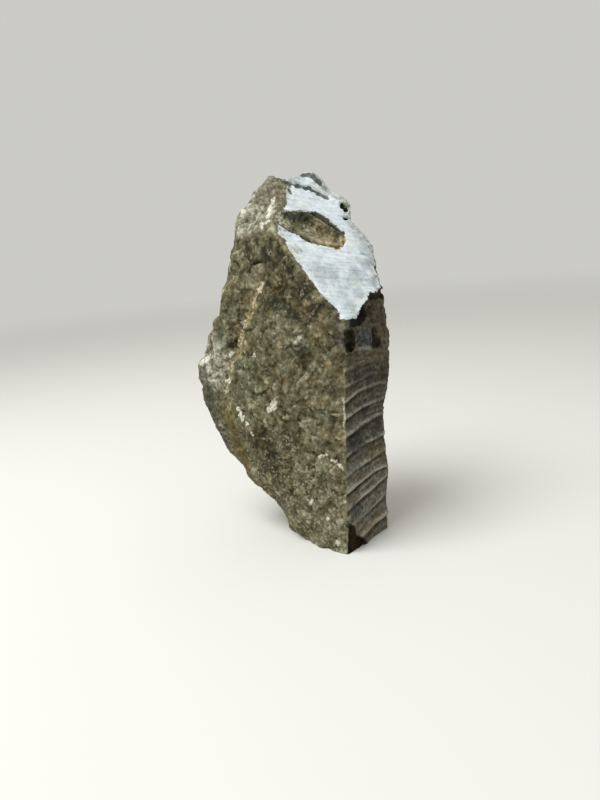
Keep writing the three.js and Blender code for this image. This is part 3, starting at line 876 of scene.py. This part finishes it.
# How each part fades in at its ragged edge: how far the edge wanders, the depths where the part starts and
# where it is full, and how much of it there is then. Broken and pit_shade are shares, the others are depths.
EDGES = {
    "dark": (14, -3, 4, 0.23),
    "green": (12, -3, 3, 0.6),
    "beige": (16, -3, 3, 0.85),
    "brown_top": (10, -1.5, 1.5, 0.85),
    "tip": (20, -3, 4, 0.92),
    "dim": (9, -0.5, 3, 0.78),
    "brown": (9, 0.5, 3.5, 0.75),
    "vein": (6, 3.4, 5.2, 0.85),
    "fleck_and_edge_highlight": (6, -0.3, 0.5, 0.9),
    "side_brown": (14, -3, 4, 1.0),
    "side_dim": (14, -3, 4, 1.0),
    "block": (3, -0.4, 0.8, 0.85),
    "block_edge": (2.5, 0.4, 1.4, 0.75),
    "beside": (2, -0.5, 0.3, 1.0),
    "hollow_spot": (6, -0.8, 1.2, 0.8),
    "white": (6, -0.35, 0.35, 1.0),
    "worn": (22, -3, 3, 0.8),
    "broken": (1.2, 0.3, 0.7, 0.9),
    "pit_shade": (1.0, 0.3, 0.6, 1.0),
}
UNDER_WANDER = 10  # of the brown areas' edges, under the slope

PALE_ROCK_TONES = [
    (0.34, (68, 65, 48)), (0.45, (118, 115, 95)), (0.56, (158, 156, 137)), (0.7, (216, 215, 200)),
]
BROWN_TOP_TONES = [(0.36, (50, 45, 32)), (0.5, (101, 94, 75)), (0.64, (152, 145, 124))]
# Painted shade along the front's lower left edge.
LEFT_EDGE_SHADE_TONES = [(0.36, (40, 39, 30)), (0.62, (97, 95, 80))]
BROWN_BAND_TONES = [(0.35, (60, 52, 24)), (0.62, (118, 106, 62))]
HIGH_VEIN_TONES = [(0.36, (104, 88, 54)), (0.5, (148, 132, 94)), (0.64, (204, 192, 158))]
LOW_VEIN_TONES = [(0.36, (94, 88, 58)), (0.5, (138, 131, 99)), (0.64, (190, 185, 154))]
# Painted shade in the holes beside the vein.
HOLE_SHADE_TONES = [(0.4, (26, 22, 1)), (0.66, (76, 68, 32))]
# Pale flecks and streaks, with the painted highlight along the sawn side's edge.
FLECK_AND_HIGHLIGHT_TONES = [(0.38, (160, 154, 132)), (0.56, (222, 218, 202))]

UNDER_TONES = [(0.36, (42, 38, 32)), (0.5, (76, 71, 64)), (0.64, (110, 105, 98))]
# Painted shade, near black, under the slope's edge.
OVERHANG_SHADE_TONES = [(0.42, (2, 2, 0)), (0.7, (24, 21, 11))]
# Painted shade in the pockets.
POCKET_SHADE_TONES = [(0.4, (18, 15, 6)), (0.66, (54, 48, 32))]
BLOCK_TONES = [(0.38, (48, 50, 46)), (0.64, (94, 97, 95))]
BLOCK_EDGE_TONE = (138, 136, 126)
# The foot's chip: brown darkened with painted shade, and near black painted shade at its border.
CHIP_BROWN_AND_SHADE_TONES = [(0.4, (7, 5, 0)), (0.66, (52, 38, 10))]
CHIP_BORDER_SHADE_TONE = (2, 2, 0)
BROWN_UNDER_TINT, BROWN_SAWN_TINT, DIM_SAWN_TINT = (255, 230, 212), (255, 244, 222), (186, 190, 196)

BESIDE_TONES = [(0.37, (66, 66, 52)), (0.47, (128, 126, 106)), (0.62, (196, 192, 172))]
HOLLOW_TONES = [(0.33, (74, 67, 48)), (0.48, (132, 124, 101)), (0.64, (188, 179, 154))]
HOLLOW_SPOT_TONES = [(0.38, (40, 38, 12)), (0.62, (98, 92, 52))]
HOLLOW_SHADE_TONES = [(0.36, (34, 36, 27)), (0.62, (84, 90, 78))]
# A lit and a shaded copy of the hollow's colour: painted light and shade.
LIT_HOLLOW_TINT, SHADED_HOLLOW_TINT = (255, 246, 234), (222, 232, 224)
WORN_TONES = [(0.4, (104, 106, 92)), (0.5, (150, 152, 138)), (0.62, (196, 196, 182))]
BROKEN_TONES = [(0.38, (38, 43, 36)), (0.52, (84, 90, 81)), (0.66, (140, 147, 139))]
# Painted shade, near black, in the slope's pits.
PIT_SHADE_TONES = [(0.4, (3, 3, 1)), (0.7, (24, 21, 13))]

# Painted light and shade from the relief.
RELIEF_SHADING_IN_COLOUR, ROCK_RELIEF_SHADING_IN_COLOUR = 0.04, 0.07  # how much paler a point is for standing out
# All but the first of these shares set how strongly painted shade covers its part.
UNDER_SHARE, OVERHANG_SHADE_SHARE, POCKET_SHADE_SHARE, SHADE_SHARE, CHIP_BORDER_SHADE_SHARE = 0.8, 0.96, 0.9, 0.92, 0.7
BUMP_STRENGTH, BUMP_METRES = 0.7, 0.0008
ROUGHNESS, SPECULAR_LEVEL = 0.78, 0.15


class StoneNodes(Nodes):
    """Nodes of the stone's material, with one noise that frays the edges of all its parts."""

    def __init__(self, tree):
        super().__init__(tree)
        self.where = self.place()
        self.fray = self.noise(self.where, 2.4, detail=4, rough=0.65)
        self.ragged = self.sum(self.fray, -0.5)

    def frayed(self, name, wander=None):
        """A share from 0 to 1 for a part that is known by a distance, with a ragged edge."""
        usual_wander, low, high, most = EDGES[name]
        wandering = self.times(self.ragged, wander or usual_wander)
        return self.step(self.sum(self.fact(name), wandering), low, high, 0, most)

    def frayed_tones(self, tones):
        """Colours that change with the noise of the edges."""
        return self.ramp(self.fray, tones)

    # Painted light and shade: paler where the surface stands out, darker where it sinks.
    def shaded_by_relief(self, grain):
        return self.sum(grain, self.times(self.fact("relief_shading"), RELIEF_SHADING_IN_COLOUR))


def rock_base(n):
    """The broken rock's colour and height: paler low down, and paler where it stands out and darker where it
    sinks, as painted light and shade.
    """
    height_up = n.height_up(n.where)
    relief_shading = n.times(n.fact("relief_shading"), ROCK_RELIEF_SHADING_IN_COLOUR)
    light = n.sum(relief_shading, n.step(height_up, 60, 10, 0.02, 0.08))
    light = n.maths("SUBTRACT", light, n.frayed("dark"))
    flecks = n.step(height_up, 75, 15, 0, 1)
    return n.grouped(broken_rock(), Flecks=flecks, Light=light, Green=n.frayed("green"))


def front_painted(n, colour):
    """Beige and brown crown, pale left tip, painted shade on the lower left edge, brown band, vein, holes
    painted dark as shade, flecks, and a painted highlight on the sawn side's edge.
    """
    pale_grain = n.noise(n.where, 3.2, detail=5, rough=0.72, twist=0.4)
    pale_rock = n.ramp(n.shaded_by_relief(pale_grain), PALE_ROCK_TONES)
    crown = n.ramp(n.noise(n.where, 3, detail=5, rough=0.7), BROWN_TOP_TONES)
    colour = n.mix(n.frayed("beige"), colour, pale_rock)
    colour = n.mix(n.frayed("brown_top"), colour, crown)
    colour = n.mix(n.frayed("tip"), colour, pale_rock)
    # Painted shade along the lower left edge.
    colour = n.mix(n.frayed("dim"), colour, n.frayed_tones(LEFT_EDGE_SHADE_TONES))
    colour = n.mix(n.frayed("brown"), colour, n.frayed_tones(BROWN_BAND_TONES))
    vein_grain = n.noise(n.where, 1.8, detail=3, rough=0.6)
    high_vein, low_vein = n.ramp(vein_grain, HIGH_VEIN_TONES), n.ramp(vein_grain, LOW_VEIN_TONES)
    colour = n.mix(n.frayed("vein"), colour, n.mix(n.fact("low_vein"), high_vein, low_vein))
    # Painted shade in the holes beside the vein.
    colour = n.mix(n.fact("hole_shade"), colour, n.frayed_tones(HOLE_SHADE_TONES))
    # Pale flecks and streaks, with the painted highlight along the sawn side's edge.
    flecks = n.ramp(n.noise(n.where, 1.0, detail=2, rough=0.6), FLECK_AND_HIGHLIGHT_TONES)
    return n.mix(n.frayed("fleck_and_edge_highlight"), colour, flecks)


def under_slope_painted(n, colour):
    """The broken side between the saw's top and the slope, with painted shade under the slope's edge and in
    the pockets.
    """
    under = n.frayed_tones(UNDER_TONES)
    under = n.mix(n.frayed("side_brown", UNDER_WANDER), under, n.tinted(under, BROWN_UNDER_TINT))
    colour = n.mix(n.times(n.fact("under"), UNDER_SHARE), colour, under)
    # Painted shade, near black, under the slope's edge.
    overhang_shade = n.times(n.fact("overhang_shade"), OVERHANG_SHADE_SHARE)
    colour = n.mix(overhang_shade, colour, n.frayed_tones(OVERHANG_SHADE_TONES))
    # Painted shade in the pockets.
    return n.mix(n.times(n.fact("pocket_shade"), POCKET_SHADE_SHARE), colour, n.frayed_tones(POCKET_SHADE_TONES))


def hollow_painted(n, colour):
    """The broken strip beside the hollow, and the hollow with its spots, painted light on its lower right and
    painted shade under its edges.
    """
    strip = n.ramp(n.noise(n.where, 2.2, detail=4, rough=0.7, twist=0.6), BESIDE_TONES)
    colour = n.mix(n.frayed("beside"), colour, strip)
    hollow_grain = n.noise(n.where, 3.2, detail=5, rough=0.72, twist=0.5)
    hollow = n.ramp(n.shaded_by_relief(hollow_grain), HOLLOW_TONES)
    # A lit and a shaded copy of the hollow's colour, as painted light and shade.
    lit, shaded_side = n.tinted(hollow, LIT_HOLLOW_TINT), n.tinted(hollow, SHADED_HOLLOW_TINT)
    hollow = n.mix(n.fact("hollow_light"), shaded_side, lit)
    hollow = n.mix(n.frayed("hollow_spot"), hollow, n.frayed_tones(HOLLOW_SPOT_TONES))
    shade = n.times(n.fact("hollow_shade"), SHADE_SHARE)
    hollow = n.mix(shade, hollow, n.frayed_tones(HOLLOW_SHADE_TONES))
    return n.mix(n.fact("hollow"), colour, hollow)


def side_painted(n, colour):
    """The sawn side with its brown and dim areas, the grey block above it, and the foot's chip, brown with
    painted shade and near black painted shade at its border.
    """
    sawn, _ = n.grouped(sawn_side(), Crest=n.fact("crest"))
    dim = n.tinted(sawn, DIM_SAWN_TINT)
    sawn = n.mix(n.frayed("side_brown"), sawn, n.tinted(sawn, BROWN_SAWN_TINT))
    sawn = n.mix(n.frayed("side_dim"), sawn, dim)
    colour = n.mix(n.fact("sawn"), colour, sawn)
    colour = n.mix(n.frayed("block"), colour, n.frayed_tones(BLOCK_TONES))
    colour = n.mix(n.frayed("block_edge"), colour, tone(BLOCK_EDGE_TONE))
    # The foot's chip: brown with painted shade, and near black painted shade at its border.
    border_shade = n.times(n.fact("chip_border_shade"), CHIP_BORDER_SHADE_SHARE)
    chip_brown_and_shade = n.mix(border_shade, n.frayed_tones(CHIP_BROWN_AND_SHADE_TONES), tone(CHIP_BORDER_SHADE_TONE))
    return n.mix(n.fact("chip_brown_and_shade"), colour, chip_brown_and_shade)


def slope_painted(n, colour, white_share, slope_colour):
    """The pale slope, worn at its edges, with its groove and cracks, and its pits painted near black as
    shade.
    """
    worn = n.ramp(n.noise(n.where, 2.2, detail=4, rough=0.7), WORN_TONES)
    slope_colour = n.mix(n.frayed("worn"), slope_colour, worn)
    colour = n.mix(white_share, colour, slope_colour)
    colour = n.mix(n.frayed("broken"), colour, n.frayed_tones(BROKEN_TONES))
    # Painted shade in the slope's pits.
    return n.mix(n.frayed("pit_shade"), colour, n.frayed_tones(PIT_SHADE_TONES))


def soapstone():
    material = bpy.data.materials.new("soapstone")
    material.use_nodes = True
    tree = material.node_tree
    shader = tree.nodes["Principled BSDF"]
    n = StoneNodes(tree)
    colour, rock_height = rock_base(n)
    slope_colour, slope_height = n.grouped(rasped_slope(), Grey=n.fact("grey_patch"))
    white_share = n.frayed("white")
    colour = front_painted(n, colour)
    colour = under_slope_painted(n, colour)
    colour = hollow_painted(n, colour)
    colour = side_painted(n, colour)
    colour = slope_painted(n, colour, white_share, slope_colour)
    tree.links.new(colour, shader.inputs["Base Color"])

    height = n.mix(white_share, rock_height, slope_height)
    bump = n.put("ShaderNodeBump", {"Height": height, "Strength": BUMP_STRENGTH, "Distance": BUMP_METRES})
    tree.links.new(bump.outputs["Normal"], shader.inputs["Normal"])
    shader.inputs["Roughness"].default_value = ROUGHNESS
    shader.inputs["Specular IOR Level"].default_value = SPECULAR_LEVEL
    return material


mesh.materials.append(soapstone())


# ---- Stage, light and camera, with places in metres ----

ROOM = (1.0, 0.992, 0.94, 1)
ROOM_STRENGTH = 0.6
FLOOR_COLOUR, FLOOR_ROUGHNESS, FLOOR_SIZE = (0.7, 0.69, 0.65, 1), 0.9, 60
FADE_START, FADE_END = 350, 2600  # mm from the stone, where the floor turns into the room
SKY_PLACE, SKY_TARGET, SKY_SIZE = (-0.22, -0.5, 1.1), (0, 0, 0.1), 0.7
SKY_POWER, SKY_COLOUR = 14, (0.95, 0.975, 1.0)
CAMERA_PLACE = (0.2247, -0.2616, 0.1712)
CAMERA_AHEAD, CAMERA_OVER = (-0.66229, 0.70987, -0.23971), (-0.0965, 0.237, 0.967)
LENS, SENSOR, NEAREST = 27, 36, 0.01


def pale_floor():
    """A plain floor that fades into the colour of the room far out."""
    bpy.ops.mesh.primitive_plane_add(size=FLOOR_SIZE)
    floor = bpy.context.object
    floor.name = "floor"
    material = bpy.data.materials.new("pale floor")
    material.use_nodes = True
    tree = material.node_tree
    n = Nodes(tree)
    matt = tree.nodes["Principled BSDF"]
    matt.inputs["Base Color"].default_value = FLOOR_COLOUR
    matt.inputs["Roughness"].default_value = FLOOR_ROUGHNESS
    glow = n.put("ShaderNodeEmission", {"Color": ROOM, "Strength": ROOM_STRENGTH})
    from_middle = n.put("ShaderNodeVectorMath", {0: n.place()}, operation="LENGTH").outputs["Value"]
    fading = n.step(from_middle, FADE_START, FADE_END)
    both = n.put("ShaderNodeMixShader", {0: fading, 1: matt.outputs[0], 2: glow.outputs[0]})
    tree.links.new(both.outputs[0], tree.nodes["Material Output"].inputs[0])
    floor.data.materials.append(material)
    return floor


def soft_light(name, place, target, size, power, colour):
    data = bpy.data.lights.new(name, "AREA")
    data.size = size
    data.energy = power
    data.color = colour
    lamp = bpy.data.objects.new(name, data)
    bpy.context.collection.objects.link(lamp)
    lamp.location = place
    lamp.rotation_euler = (Vector(target) - Vector(place)).to_track_quat("-Z", "Y").to_euler()


def aimed_camera():
    data = bpy.data.cameras.new("camera")
    data.lens = LENS
    data.sensor_width = SENSOR
    data.clip_start = NEAREST
    camera = bpy.data.objects.new("camera", data)
    bpy.context.collection.objects.link(camera)
    ahead = Vector(CAMERA_AHEAD).normalized()
    right = ahead.cross(Vector(CAMERA_OVER)).normalized()
    turn = Matrix((right, right.cross(ahead), -ahead)).transposed()
    camera.matrix_world = Matrix.Translation(CAMERA_PLACE) @ turn.to_4x4()
    return camera


world = bpy.data.worlds.new("soft room")
world.use_nodes = True
world.node_tree.nodes["Background"].inputs["Color"].default_value = ROOM
world.node_tree.nodes["Background"].inputs["Strength"].default_value = ROOM_STRENGTH
scene.world = world
scene.view_settings.view_transform = "Standard"
floor = pale_floor()
soft_light("sky light", SKY_PLACE, SKY_TARGET, SKY_SIZE, SKY_POWER, SKY_COLOUR)
scene.camera = aimed_camera()
